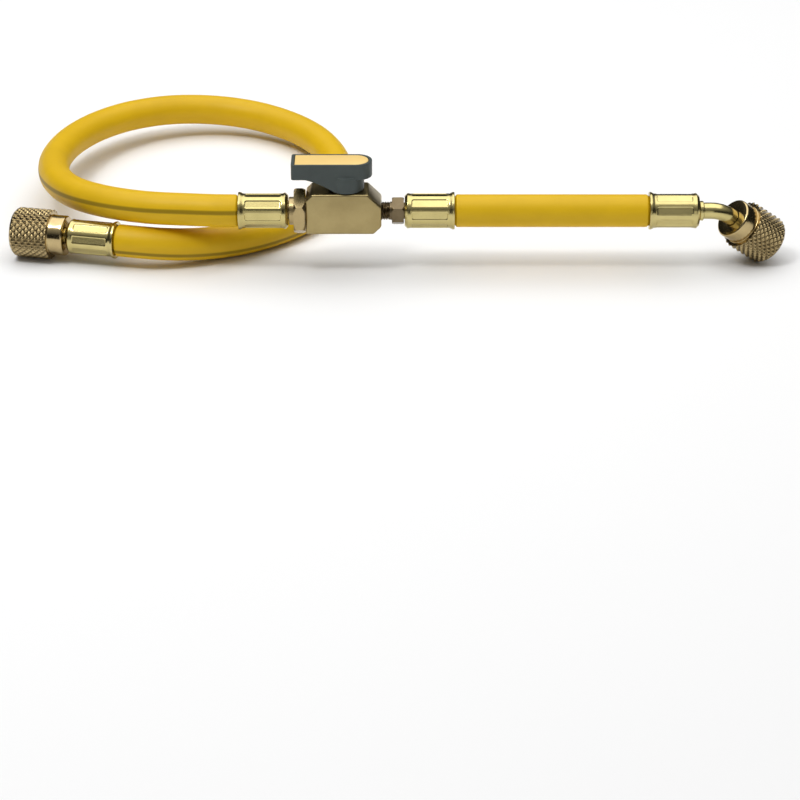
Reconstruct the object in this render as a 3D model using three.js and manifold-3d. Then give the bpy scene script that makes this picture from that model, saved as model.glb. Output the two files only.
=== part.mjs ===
// A refrigerant charging hose: a rubber hose with a knurled swivel nut at each end,
// one straight and one angled, and a small ball valve with a lever between its long
// and its short length. Millimetres, +Z up, lying on a level floor at z = 0.
import * as THREE from "three";
import { mergeVertices } from "three/addons/utils/BufferGeometryUtils.js";
import Module from "manifold-3d";

const wasm = await Module();
wasm.setup();

// Clearances and roundness
const GAP = 0.3; // between pieces that touch
const ROUND_SIDES = 32;
const SMALL_SIDES = 20;
const REACH = 1; // how far a cutter runs past the face that it cuts

// Hose, its ferrules and what goes into its ends
const HOSE_DIAMETER = 12.6;
const HOSE_SIDES = 12;
const SHORT_HOSE_LENGTH = 74.7;
const FERRULE_LENGTH = 19.2;
const FERRULE_STEP = 0.4; // the sleeve stands this much proud of the hose
const FERRULE_WALL = 1.0;
const FERRULE_END_WALL = 1.2;
const RIM_FLARE = 0.55;
const RIM_LENGTH = 1.4;
const END_ROUND = 0.8;
const CRIMP_PANELS = 8;
const PANEL_DEPTH = 0.35;
const PANEL_WIDTH = 3.3;
const PANEL_MARGIN = 2.4; // from each end of the sleeve
const CRIMP_TURNS = { straight: 13, inlet: 0, outlet: 5, angled: 22.5 }; // degrees, as pressed
const TAIL_RADIUS = 2.9;
const TAIL_SETBACK = 3; // from the ferrule's rim to the tip of the tail
const NECK_RADIUS = 3.175; // quarter-inch tube
const FLOW_RADIUS = 1.7;

// Swivel nuts for quarter-inch flare fittings
const KNURL_DIAMETER = 19.5;
const KNURL_LENGTH = 15;
const COLLAR_DIAMETER = 15.6;
const COLLAR_LENGTH = 6;
const COLLAR_CHAMFER = 0.7;
const MOUTH_CHAMFER = 1.3;
const KNURL_CHAMFER = 0.5;
const NUT_FLOOR = 3;
const NUT_BORE_RADIUS = 5.2;
const MOUTH_COUNTERSINK = 0.5;
const NUT_SETBACK = 1.1; // from a ferrule's end to the nut's rear face
const FLANGE_RADIUS = 4.8;
const FLANGE_LENGTH = 3;
const GASKET_LENGTH = 2.4;
const GASKET_WALL = 2.6;

// Straight end, at the start of the loop
const STRAIGHT_X = -88.2;
const STRAIGHT_Y = 2.9;
const STRAIGHT_YAW = THREE.MathUtils.degToRad(12);

// Angled end
const ELBOW_ANGLE = THREE.MathUtils.degToRad(42);
const ELBOW_ROLL = THREE.MathUtils.degToRad(26.6); // from straight down towards the back
const ELBOW_RADIUS = 11;
const ELBOW_FIRST_LEG = 4.5;
const ELBOW_LAST_LEG = 2.1;
const BEAD_RADIUS = 3.8;
const BEAD_LENGTH = 1.5;

// Valve body
const BODY_LENGTH = 29;
const BODY_DEPTH = 13.5;
const BODY_HEIGHT = 16.4;
const BODY_LIFT = 1.1; // its middle above the flow axis
const OUTLET_TOP_CHAMFER = 5.2;
const OUTLET_BOTTOM_CHAMFER = 3;
const INLET_CHAMFER = 2.4;
const BORE_RADIUS = 5.3;

// Hex adapter at the inlet and threaded nipple at the outlet
const ADAPTER_HEX_ACROSS = 16.2;
const ADAPTER_HEX_LENGTH = 4.3;
const ADAPTER_NECK_RADIUS = 5.35;
const ADAPTER_NECK_LENGTH = 2;
const NIPPLE_THREAD_RADIUS = 3.55;
const NIPPLE_THREAD_SHOWN = 4;
const NIPPLE_HEX_ACROSS = 9.7;
const NIPPLE_HEX_LENGTH = 4.6;

// Ball, seats, stem and lever
const STEM_X = 1;
const BALL_RADIUS = 4.6;
const SEAT_LENGTH = 2.6;
const SEAT_HOLE_RADIUS = 2.2;
const STEM_RADIUS = 2;
const TANG_WIDTH = 1.6;
const TANG_DEPTH = 1.4;
const SQUARE_SIDE = 2.6;
const SQUARE_HEIGHT = 6;
const LEVER_WIDTH = 11.7;
const LEVER_ARM = 20.9; // from the stem's axis to the square end
const LEVER_NOSE = 10; // from the stem's axis to the round end
const LEVER_PLATE = 6.2;
const LEVER_HEIGHT = 11.5; // from the hub's foot to the top
const HUB_RADIUS = 6.9;
const WEB_START = 15.5; // from the stem's axis
const WEB_BEND = 10.5;
const WEB_BEND_SHARE = 0.23; // of the way down to its foot
const WEB_END = 4.2;
const WEB_FOOT = 0.2; // above the hub's foot
const LEVER_CORNER = 0.9;
const CAP_SIDE_RIM = 0.9;
const CAP_END_RIM = 1.3;
const CAP_DEPTH = 1.6;

const BRASS = { color: 0xb8a25c, roughness: 0.3, metalness: 1 };
const TURNED_BRASS = { color: 0xa88c60, roughness: 0.35, metalness: 1 };
const SATIN_BRASS = { color: 0x9b875a, roughness: 0.45, metalness: 1 };
const YELLOW_RUBBER = { color: 0xd7af23, roughness: 0.55, metalness: 0 };
const DARK_PLASTIC = { color: 0x414b46, roughness: 0.5, metalness: 0 };
const PALE_PLASTIC = { color: 0xfad787, roughness: 0.45, metalness: 0 };
const SEAT_PLASTIC = { color: 0xf0f0ec, roughness: 0.4, metalness: 0 };
const BLACK_RUBBER = { color: 0x202020, roughness: 0.7, metalness: 0 };

// Sizes that follow from the ones above
const HOSE_RADIUS = HOSE_DIAMETER / 2;
const SLEEVE_RADIUS = HOSE_RADIUS + FERRULE_STEP;
const SLEEVE_BORE_RADIUS = SLEEVE_RADIUS - FERRULE_WALL;
const CRIMPED_RADIUS = SLEEVE_BORE_RADIUS - GAP;
const NECK_HOLE_RADIUS = NECK_RADIUS + GAP;
const KNURL_RADIUS = KNURL_DIAMETER / 2;
const NUT_LENGTH = COLLAR_LENGTH + KNURL_LENGTH;
const FLANGE_START = NUT_FLOOR + GAP; // from the nut's rear face
const GASKET_START = FLANGE_START + FLANGE_LENGTH + GAP;

// The angled nut rests on the floor on the lower edge of its mouth, and the tube that
// carries it sets the height of the whole flow axis.
const ELBOW_DIRECTION = new THREE.Vector3(
  Math.cos(ELBOW_ANGLE),
  Math.sin(ELBOW_ANGLE) * Math.sin(ELBOW_ROLL),
  -Math.sin(ELBOW_ANGLE) * Math.cos(ELBOW_ROLL),
);
const ELBOW_SIDE = new THREE.Vector3(0, Math.sin(ELBOW_ROLL), -Math.cos(ELBOW_ROLL));
const steepness = -ELBOW_DIRECTION.z;
const ANGLED_REAR_HEIGHT =
  (NUT_LENGTH - MOUTH_CHAMFER) * steepness + KNURL_RADIUS * Math.sqrt(1 - steepness ** 2);
const ELBOW_DROP =
  (ELBOW_RADIUS * (1 - Math.cos(ELBOW_ANGLE)) + ELBOW_LAST_LEG * Math.sin(ELBOW_ANGLE)) *
  Math.cos(ELBOW_ROLL);
const AXIS_HEIGHT = ANGLED_REAR_HEIGHT + ELBOW_DROP;

// Places along the flow axis, with x = 0 in the middle of the valve body
const BODY_INLET = -BODY_LENGTH / 2;
const BODY_OUTLET = BODY_LENGTH / 2;
const ADAPTER_OUTER = BODY_INLET - GAP - ADAPTER_HEX_LENGTH - ADAPTER_NECK_LENGTH;
const INLET_RIM = ADAPTER_OUTER - GAP - FERRULE_LENGTH;
const NIPPLE_OUTER = BODY_OUTLET + NIPPLE_THREAD_SHOWN + NIPPLE_HEX_LENGTH;
const OUTLET_RIM = NIPPLE_OUTER + GAP + FERRULE_LENGTH;
const ANGLED_RIM = OUTLET_RIM + SHORT_HOSE_LENGTH;

// The loop's route: from the straight end along the floor, round to the back, and in a
// long rise over its own start into the valve. Both end points follow the fittings.
const LOOP_ROUTE = [
  [-80.4, 1.2, 9.7],
  [-70.5, 0.9, 9.0],
  [-60.5, 2.9, 8.0],
  [-51.3, 6.4, 7.1],
  [-42.8, 10.6, 6.5],
  [-34.9, 15.4, 6.35],
  [-21.2, 27.7, 6.35],
  [-11.1, 43.4, 6.35],
  [-5.4, 61.1, 6.35],
  [-4.2, 79.6, 6.6],
  [-7.5, 98.0, 7.2],
  [-15.3, 114.9, 7.9],
  [-27.6, 128.9, 8.6],
  [-43.6, 138.3, 9.6],
  [-61.9, 141.3, 10.8],
  [-78.3, 138.2, 11.9],
  [-94.3, 128.8, 12.9],
  [-106.5, 114.7, 13.8],
  [-114.6, 97.9, 14.8],
  [-118.8, 79.8, 16.0],
  [-119.4, 61.2, 17.3],
  [-115.8, 42.9, 18.7],
  [-107.2, 26.4, 20.1],
  [-93.8, 13.6, 21.6],
  [-77.0, 5.5, 22.5],
  [-58.7, 1.5, 23.2],
  [-48.5, 0.1, 23.4],
];
const LOOP_STEPS = 44;

const model = new THREE.Group();
model.name = "charging_hose";

function material(finish) {
  return new THREE.MeshStandardMaterial(finish);
}

function addPiece(group, name, geometry, finish) {
  const mesh = new THREE.Mesh(geometry, material(finish));
  mesh.name = name;
  group.add(mesh);
  return mesh;
}

// A solid of revolution about +X from [along, radius] points. An outline that doesn't
// start on the axis is a ring, and closes on itself.
function turned(outline, sides = ROUND_SIDES) {
  const ring = outline[0][1] > 0;
  const closed = ring ? [...outline, outline[0]] : outline;
  const points = closed.map(([along, radius]) => new THREE.Vector2(radius, along));
  return new THREE.LatheGeometry(points, sides).rotateZ(-Math.PI / 2);
}

// A plain cylinder along +X.
function rod(from, to, radius, sides = SMALL_SIDES) {
  return turned([[from, 0], [from, radius], [to, radius], [to, 0]], sides);
}

// A hexagonal prism along +X with a corner up and a flat towards the front.
function hexBar(from, to, across) {
  const corner = across / Math.sqrt(3);
  const bar = new THREE.CylinderGeometry(corner, corner, to - from, 6);
  return bar.rotateZ(Math.PI / 2).rotateX(Math.PI / 2).translate((from + to) / 2, 0, 0);
}

function block(lengthX, depthY, heightZ) {
  return new THREE.BoxGeometry(lengthX, depthY, heightZ);
}

function solidOf(geometry) {
  const bare = geometry.clone();
  bare.deleteAttribute("normal");
  bare.deleteAttribute("uv");
  const merged = mergeVertices(bare, 1e-4);
  return new wasm.Manifold(
    new wasm.Mesh({
      numProp: 3,
      vertProperties: merged.attributes.position.array,
      triVerts: new Uint32Array(merged.index.array),
    }),
  );
}

function geometryOf(solid) {
  const mesh = solid.getMesh();
  const geometry = new THREE.BufferGeometry();
  geometry.setAttribute("position", new THREE.BufferAttribute(mesh.vertProperties, 3));
  geometry.setIndex(new THREE.BufferAttribute(mesh.triVerts, 1));
  const faceted = geometry.toNonIndexed();
  faceted.computeVertexNormals();
  return faceted;
}

// The first shape joined with the ones in added, less the ones in removed.
function shaped(first, added, removed) {
  let solid = solidOf(first);
  for (const geometry of added) {
    solid = solid.add(solidOf(geometry));
  }
  for (const geometry of removed) {
    solid = solid.subtract(solidOf(geometry));
  }
  return geometryOf(solid);
}

function roundSection(radius, sides) {
  const section = new THREE.Shape();
  for (let i = 0; i < sides; i += 1) {
    const turn = (i / sides) * 2 * Math.PI;
    const x = radius * Math.cos(turn);
    const y = radius * Math.sin(turn);
    if (i === 0) {
      section.moveTo(x, y);
    } else {
      section.lineTo(x, y);
    }
  }
  section.closePath();
  return section;
}

function tubeAlong(curve, steps, radius, sides) {
  return new THREE.ExtrudeGeometry(roundSection(radius, sides), {
    steps,
    extrudePath: curve,
  });
}

// The following pieces of a hose end share one local frame: x = 0 at the ferrule's rim,
// where the hose comes out, and +X towards the fitting.

// Brass sleeve, flared at the rim, closed in at the other end and pressed in along
// eight panels, the first one crimpTurn degrees from the top.
function ferruleGeometry(crimpTurn) {
  const rimRadius = SLEEVE_RADIUS + RIM_FLARE;
  const sleeve = turned([
    [0, SLEEVE_BORE_RADIUS],
    [0, rimRadius],
    [RIM_LENGTH / 2, rimRadius],
    [RIM_LENGTH, SLEEVE_RADIUS],
    [FERRULE_LENGTH - END_ROUND, SLEEVE_RADIUS],
    [FERRULE_LENGTH, SLEEVE_RADIUS - END_ROUND],
    [FERRULE_LENGTH, NECK_HOLE_RADIUS],
    [FERRULE_LENGTH - FERRULE_END_WALL, NECK_HOLE_RADIUS],
    [FERRULE_LENGTH - FERRULE_END_WALL, SLEEVE_BORE_RADIUS],
  ]);
  const panelLength = FERRULE_LENGTH - 2 * PANEL_MARGIN;
  const panels = [];
  for (let i = 0; i < CRIMP_PANELS; i += 1) {
    const panel = block(panelLength, PANEL_WIDTH, 2 * PANEL_DEPTH);
    panel.translate(PANEL_MARGIN + panelLength / 2, 0, SLEEVE_RADIUS);
    panel.rotateX((i / CRIMP_PANELS) * 2 * Math.PI + THREE.MathUtils.degToRad(crimpTurn));
    panels.push(panel);
  }
  return shaped(sleeve, [], panels);
}

// The end of a hose inside its ferrule, squeezed smaller by the crimp.
function crimpedEnd() {
  return rod(-REACH, FERRULE_LENGTH - FERRULE_END_WALL - GAP, CRIMPED_RADIUS);
}

// The hole in the end of a hose that the fitting's tail goes into.
function tailHole() {
  return rod(TAIL_SETBACK - GAP, FERRULE_LENGTH + REACH, TAIL_RADIUS + GAP);
}

// The tail in the hose and the neck through the ferrule's end, as an outline of
// [along, radius] points from the tip.
function tailOutline() {
  const shoulder = FERRULE_LENGTH - FERRULE_END_WALL - GAP;
  return [
    [TAIL_SETBACK, FLOW_RADIUS],
    [TAIL_SETBACK, TAIL_RADIUS],
    [shoulder, TAIL_RADIUS],
    [shoulder, NECK_RADIUS],
  ];
}

// Swivel nut with its rear face at x = 0 and its mouth towards +X.
function nutGeometry() {
  const collar = COLLAR_DIAMETER / 2;
  return turned([
    [0, NECK_HOLE_RADIUS],
    [0, collar - COLLAR_CHAMFER],
    [COLLAR_CHAMFER, collar],
    [COLLAR_LENGTH, collar],
    [COLLAR_LENGTH, KNURL_RADIUS - KNURL_CHAMFER],
    [COLLAR_LENGTH + KNURL_CHAMFER, KNURL_RADIUS],
    [NUT_LENGTH - MOUTH_CHAMFER, KNURL_RADIUS],
    [NUT_LENGTH, KNURL_RADIUS - MOUTH_CHAMFER],
    [NUT_LENGTH, NUT_BORE_RADIUS + MOUTH_COUNTERSINK],
    [NUT_LENGTH - MOUTH_COUNTERSINK, NUT_BORE_RADIUS],
    [NUT_FLOOR, NUT_BORE_RADIUS],
    [NUT_FLOOR, NECK_HOLE_RADIUS],
  ]);
}

// Soft ring against the flange in the bottom of a nut.
function gasketGeometry() {
  const outer = FLANGE_RADIUS;
  return turned([
    [GASKET_START, outer - GASKET_WALL],
    [GASKET_START, outer],
    [GASKET_START + GASKET_LENGTH, outer],
    [GASKET_START + GASKET_LENGTH, outer - GASKET_WALL],
  ]);
}

// Straight end
const straightEnd = new THREE.Group();
const straightRim = new THREE.Vector3(STRAIGHT_X, STRAIGHT_Y, KNURL_RADIUS);
straightEnd.position.copy(straightRim);
straightEnd.rotation.z = Math.PI - STRAIGHT_YAW;
model.add(straightEnd);

const straightNutRear = FERRULE_LENGTH + NUT_SETBACK;

function straightNippleGeometry() {
  const flangeStart = straightNutRear + FLANGE_START;
  const flangeEnd = flangeStart + FLANGE_LENGTH;
  return turned([
    ...tailOutline(),
    [flangeStart, NECK_RADIUS],
    [flangeStart, FLANGE_RADIUS],
    [flangeEnd, FLANGE_RADIUS],
    [flangeEnd, FLOW_RADIUS],
  ]);
}

addPiece(straightEnd, "ferrule_straight_end", ferruleGeometry(CRIMP_TURNS.straight), BRASS);
addPiece(straightEnd, "straight_nipple", straightNippleGeometry(), BRASS);
const straightNut = new THREE.Group();
straightNut.position.x = straightNutRear;
straightEnd.add(straightNut);
addPiece(straightNut, "straight_nut", nutGeometry(), TURNED_BRASS);
addPiece(straightNut, "straight_gasket", gasketGeometry(), BLACK_RUBBER);

// Loop of hose, from the straight end to the valve's inlet
const inletRim = new THREE.Vector3(INLET_RIM, 0, AXIS_HEIGHT);

function loopHoseGeometry() {
  const towardsHose = new THREE.Vector3(Math.cos(STRAIGHT_YAW), -Math.sin(STRAIGHT_YAW), 0);
  const start = straightRim.clone().addScaledVector(towardsHose, GAP);
  const end = inletRim.clone().add(new THREE.Vector3(-GAP, 0, 0));
  const middle = LOOP_ROUTE.map(([x, y, z]) => new THREE.Vector3(x, y, z));
  const curve = new THREE.CatmullRomCurve3([start, ...middle, end]);
  const straightPose = new THREE.Matrix4()
    .makeRotationZ(Math.PI - STRAIGHT_YAW)
    .setPosition(straightRim);
  const inletPose = new THREE.Matrix4().makeTranslation(inletRim);
  return shaped(
    tubeAlong(curve, LOOP_STEPS, HOSE_RADIUS, HOSE_SIDES),
    [crimpedEnd().applyMatrix4(straightPose), crimpedEnd().applyMatrix4(inletPose)],
    [tailHole().applyMatrix4(straightPose), tailHole().applyMatrix4(inletPose)],
  );
}

addPiece(model, "loop_hose", loopHoseGeometry(), YELLOW_RUBBER);

// Everything on the flow axis
const flowAxis = new THREE.Group();
flowAxis.position.z = AXIS_HEIGHT;
model.add(flowAxis);

const inletSleeve = ferruleGeometry(CRIMP_TURNS.inlet);
const inletFerrule = addPiece(flowAxis, "ferrule_valve_inlet", inletSleeve, BRASS);
inletFerrule.position.x = INLET_RIM;

const outletSleeve = ferruleGeometry(CRIMP_TURNS.outlet);
const outletFerrule = addPiece(flowAxis, "ferrule_valve_outlet", outletSleeve, BRASS);
outletFerrule.position.x = OUTLET_RIM;
outletFerrule.rotation.z = Math.PI;

const angledSleeve = ferruleGeometry(CRIMP_TURNS.angled);
const angledFerrule = addPiece(flowAxis, "ferrule_angled_end", angledSleeve, BRASS);
angledFerrule.position.x = ANGLED_RIM;

// Valve body, a square block bored from its inlet end
const seatFar = BALL_RADIUS + 1; // from the ball's middle to a seat's outer face
const BODY_MIDDLE = new THREE.Vector3(0, 0, BODY_LIFT);
const SHOULDER_X = STEM_X + seatFar + GAP;
const BODY_TOP = BODY_LIFT + BODY_HEIGHT / 2;

function bodyGeometry() {
  const half = BODY_HEIGHT / 2;
  const outline = new THREE.Shape();
  outline.moveTo(BODY_INLET, -half);
  outline.lineTo(BODY_OUTLET - OUTLET_BOTTOM_CHAMFER, -half);
  outline.lineTo(BODY_OUTLET, OUTLET_BOTTOM_CHAMFER - half);
  outline.lineTo(BODY_OUTLET, half - OUTLET_TOP_CHAMFER);
  outline.lineTo(BODY_OUTLET - OUTLET_TOP_CHAMFER, half);
  outline.lineTo(BODY_INLET + INLET_CHAMFER, half);
  outline.lineTo(BODY_INLET, half - INLET_CHAMFER);
  outline.closePath();
  const stock = new THREE.ExtrudeGeometry(outline, { depth: BODY_DEPTH, bevelEnabled: false });
  stock.rotateX(Math.PI / 2).translate(0, BODY_DEPTH / 2, 0);
  stock.translate(BODY_MIDDLE.x, BODY_MIDDLE.y, BODY_MIDDLE.z);
  const mainBore = rod(BODY_INLET - REACH, SHOULDER_X, BORE_RADIUS, ROUND_SIDES);
  const outletBore = rod(SHOULDER_X - REACH, BODY_OUTLET + REACH, NIPPLE_THREAD_RADIUS + GAP);
  const stemBore = rod(0, BODY_TOP + REACH, STEM_RADIUS + GAP).rotateY(-Math.PI / 2);
  stemBore.translate(STEM_X, 0, 0);
  return shaped(stock, [], [mainBore, outletBore, stemBore]);
}

addPiece(flowAxis, "valve_body", bodyGeometry(), SATIN_BRASS);

// Inlet adapter: spigot in the body, hex, neck, and tail in the loop hose
function adapterGeometry() {
  const hexStart = BODY_INLET - GAP - ADAPTER_HEX_LENGTH;
  const hexEnd = BODY_INLET - GAP;
  const spigotEnd = STEM_X - seatFar - GAP;
  const tail = tailOutline().map(([along, radius]) => [INLET_RIM + along, radius]);
  const stem = turned([
    ...tail,
    [ADAPTER_OUTER, NECK_RADIUS],
    [ADAPTER_OUTER, ADAPTER_NECK_RADIUS],
    [hexStart + REACH, ADAPTER_NECK_RADIUS],
    [hexStart + REACH, BORE_RADIUS - GAP],
    [spigotEnd, BORE_RADIUS - GAP],
    [spigotEnd, FLOW_RADIUS],
  ]);
  const bore = rod(hexStart - REACH, hexEnd + REACH, FLOW_RADIUS, ROUND_SIDES);
  return shaped(hexBar(hexStart, hexEnd, ADAPTER_HEX_ACROSS), [stem], [bore]);
}

addPiece(flowAxis, "valve_adapter", adapterGeometry(), TURNED_BRASS);

// Outlet nipple: thread in the body, hex, and tail in the short hose
function threadedNippleGeometry() {
  const hexStart = BODY_OUTLET + NIPPLE_THREAD_SHOWN;
  const tail = tailOutline().map(([along, radius]) => [OUTLET_RIM - along, radius]);
  const stem = turned([
    [SHOULDER_X + GAP, FLOW_RADIUS],
    [SHOULDER_X + GAP, NIPPLE_THREAD_RADIUS],
    [hexStart + REACH, NIPPLE_THREAD_RADIUS],
    [hexStart + REACH, NECK_RADIUS],
    ...tail.reverse(),
  ]);
  const bore = rod(hexStart - REACH, NIPPLE_OUTER + REACH, FLOW_RADIUS, ROUND_SIDES);
  return shaped(hexBar(hexStart, NIPPLE_OUTER, NIPPLE_HEX_ACROSS), [stem], [bore]);
}

addPiece(flowAxis, "threaded_nipple", threadedNippleGeometry(), TURNED_BRASS);

// Ball and its two seats
function ballGeometry() {
  const ball = new THREE.SphereGeometry(BALL_RADIUS, SMALL_SIDES, SMALL_SIDES / 2);
  const slotWidth = TANG_WIDTH + 2 * GAP;
  const slot = block(2 * BALL_RADIUS, slotWidth, 2 * (TANG_DEPTH + GAP));
  slot.translate(0, 0, BALL_RADIUS);
  const flow = rod(-BALL_RADIUS - REACH, BALL_RADIUS + REACH, FLOW_RADIUS);
  return shaped(ball, [], [flow, slot]).translate(STEM_X, 0, 0);
}

// A ring hollowed to the ball; side is -1 towards the inlet and 1 towards the outlet.
function seatGeometry(side) {
  const far = side * seatFar;
  const near = side * (seatFar - SEAT_LENGTH);
  const ring = turned([
    [Math.min(near, far), SEAT_HOLE_RADIUS],
    [Math.min(near, far), BORE_RADIUS - GAP],
    [Math.max(near, far), BORE_RADIUS - GAP],
    [Math.max(near, far), SEAT_HOLE_RADIUS],
  ]);
  const hollow = new THREE.SphereGeometry(BALL_RADIUS + GAP, SMALL_SIDES, SMALL_SIDES / 2);
  return shaped(ring, [], [hollow]).translate(STEM_X, 0, 0);
}

addPiece(flowAxis, "valve_ball", ballGeometry(), BRASS);
addPiece(flowAxis, "seat_inlet", seatGeometry(-1), SEAT_PLASTIC);
addPiece(flowAxis, "seat_outlet", seatGeometry(1), SEAT_PLASTIC);

// Stem, from the slot in the ball to the square in the lever
const STEM_FOOT = BALL_RADIUS - TANG_DEPTH;
const HUB_FOOT = BODY_TOP + GAP;
const STEM_SHOULDER = HUB_FOOT + GAP;

function stemGeometry() {
  const shaftFoot = BALL_RADIUS + GAP;
  const shaft = rod(shaftFoot, STEM_SHOULDER - GAP, STEM_RADIUS).rotateY(-Math.PI / 2);
  const tangHeight = shaftFoot - STEM_FOOT + REACH;
  const tang = block(2 * STEM_RADIUS, TANG_WIDTH, tangHeight);
  tang.translate(0, 0, STEM_FOOT + tangHeight / 2);
  const squareFoot = STEM_SHOULDER - GAP - REACH;
  const squareHeight = SQUARE_HEIGHT + REACH;
  const square = block(SQUARE_SIDE, SQUARE_SIDE, squareHeight);
  square.translate(0, 0, squareFoot + squareHeight / 2);
  const round = rod(STEM_FOOT, shaftFoot + REACH, STEM_RADIUS).rotateY(-Math.PI / 2);
  const keyed = solidOf(tang).intersect(solidOf(round));
  const joined = solidOf(shaft).add(keyed).add(solidOf(square));
  return geometryOf(joined).translate(STEM_X, 0, 0);
}

addPiece(flowAxis, "valve_stem", stemGeometry(), BRASS);

// Lever: a plate with one square and one round end on a round hub, with a web between
const leverFrame = new THREE.Group();
leverFrame.position.set(STEM_X, 0, HUB_FOOT);
flowAxis.add(leverFrame);

// Outline of the plate, seen from above, drawn in by rim at the sides and endRim at the ends.
function leverOutline(sideRim, endRim, corner) {
  const half = LEVER_WIDTH / 2 - sideRim;
  const left = -LEVER_ARM + endRim;
  const noseCentre = LEVER_NOSE - endRim - half;
  const outline = new THREE.Shape();
  outline.moveTo(left + corner, -half);
  outline.lineTo(noseCentre, -half);
  outline.absarc(noseCentre, 0, half, -Math.PI / 2, Math.PI / 2, false);
  outline.lineTo(left + corner, half);
  outline.lineTo(left, half - corner);
  outline.lineTo(left, corner - half);
  outline.closePath();
  return outline;
}

function leverGeometry() {
  const underside = LEVER_HEIGHT - LEVER_PLATE;
  const flat = { bevelEnabled: false, curveSegments: SMALL_SIDES / 2 };
  const plate = new THREE.ExtrudeGeometry(leverOutline(0, 0, LEVER_CORNER), {
    ...flat,
    depth: LEVER_PLATE,
  }).translate(0, 0, underside);
  const hub = rod(0, underside + REACH, HUB_RADIUS, ROUND_SIDES).rotateY(-Math.PI / 2);
  const webSide = new THREE.Shape();
  webSide.moveTo(-WEB_START, underside + REACH);
  webSide.lineTo(-WEB_START, underside);
  const bendHeight = THREE.MathUtils.lerp(underside, WEB_FOOT, WEB_BEND_SHARE);
  webSide.quadraticCurveTo(-WEB_BEND, bendHeight, -WEB_END, WEB_FOOT);
  webSide.lineTo(0, WEB_FOOT);
  webSide.lineTo(0, underside + REACH);
  webSide.closePath();
  const web = new THREE.ExtrudeGeometry(webSide, { ...flat, depth: LEVER_WIDTH });
  web.rotateX(Math.PI / 2).translate(0, LEVER_WIDTH / 2, 0);
  const socketSide = SQUARE_SIDE + 2 * GAP;
  const socketHeight = SQUARE_HEIGHT + GAP + REACH;
  const socket = block(socketSide, socketSide, socketHeight);
  socket.translate(0, 0, socketHeight / 2 - REACH);
  const recess = new THREE.ExtrudeGeometry(
    leverOutline(CAP_SIDE_RIM, CAP_END_RIM, 0),
    { ...flat, depth: CAP_DEPTH + REACH },
  ).translate(0, 0, LEVER_HEIGHT - CAP_DEPTH);
  return shaped(plate, [hub, web], [socket, recess]);
}

function capGeometry() {
  return new THREE.ExtrudeGeometry(leverOutline(CAP_SIDE_RIM + GAP, CAP_END_RIM + GAP, 0), {
    bevelEnabled: false,
    curveSegments: SMALL_SIDES / 2,
    depth: CAP_DEPTH - GAP,
  }).translate(0, 0, LEVER_HEIGHT - CAP_DEPTH + GAP);
}

addPiece(leverFrame, "lever", leverGeometry(), DARK_PLASTIC);
addPiece(leverFrame, "lever_cap", capGeometry(), PALE_PLASTIC);

// Short hose, from the valve's outlet to the angled end
function shortHoseGeometry() {
  const outletPose = new THREE.Matrix4().makeRotationZ(Math.PI);
  const farPose = new THREE.Matrix4().makeTranslation(SHORT_HOSE_LENGTH, 0, 0);
  const ends = [crimpedEnd().applyMatrix4(outletPose), crimpedEnd().applyMatrix4(farPose)];
  const holes = [tailHole().applyMatrix4(outletPose), tailHole().applyMatrix4(farPose)];
  return shaped(rod(GAP, SHORT_HOSE_LENGTH - GAP, HOSE_RADIUS, HOSE_SIDES), ends, holes);
}

const shortHose = addPiece(flowAxis, "short_hose", shortHoseGeometry(), YELLOW_RUBBER);
shortHose.position.x = OUTLET_RIM;

// Angled end: a bent tube, from the tail in the short hose to the flange in the nut
const angledEnd = new THREE.Group();
angledEnd.position.x = ANGLED_RIM;
flowAxis.add(angledEnd);

const bendStart = FERRULE_LENGTH + ELBOW_FIRST_LEG;
const bendEnd = new THREE.Vector3(bendStart + ELBOW_RADIUS * Math.sin(ELBOW_ANGLE), 0, 0);
bendEnd.addScaledVector(ELBOW_SIDE, ELBOW_RADIUS * (1 - Math.cos(ELBOW_ANGLE)));
const angledNutRear = bendEnd.clone().addScaledVector(ELBOW_DIRECTION, ELBOW_LAST_LEG);
const BEND_STEPS = 8;

// The tube's centreline between a point on the straight leg and one beyond the bend.
function elbowLine(startX, endBeyondBend) {
  const corner = new THREE.Vector3(bendStart, 0, 0);
  const points = [new THREE.Vector3(startX, 0, 0)];
  for (let i = 0; i <= BEND_STEPS; i += 1) {
    const turn = (i / BEND_STEPS) * ELBOW_ANGLE;
    const point = corner.clone();
    point.x += ELBOW_RADIUS * Math.sin(turn);
    point.addScaledVector(ELBOW_SIDE, ELBOW_RADIUS * (1 - Math.cos(turn)));
    points.push(point);
  }
  points.push(bendEnd.clone().addScaledVector(ELBOW_DIRECTION, endBeyondBend));
  return points;
}

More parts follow.
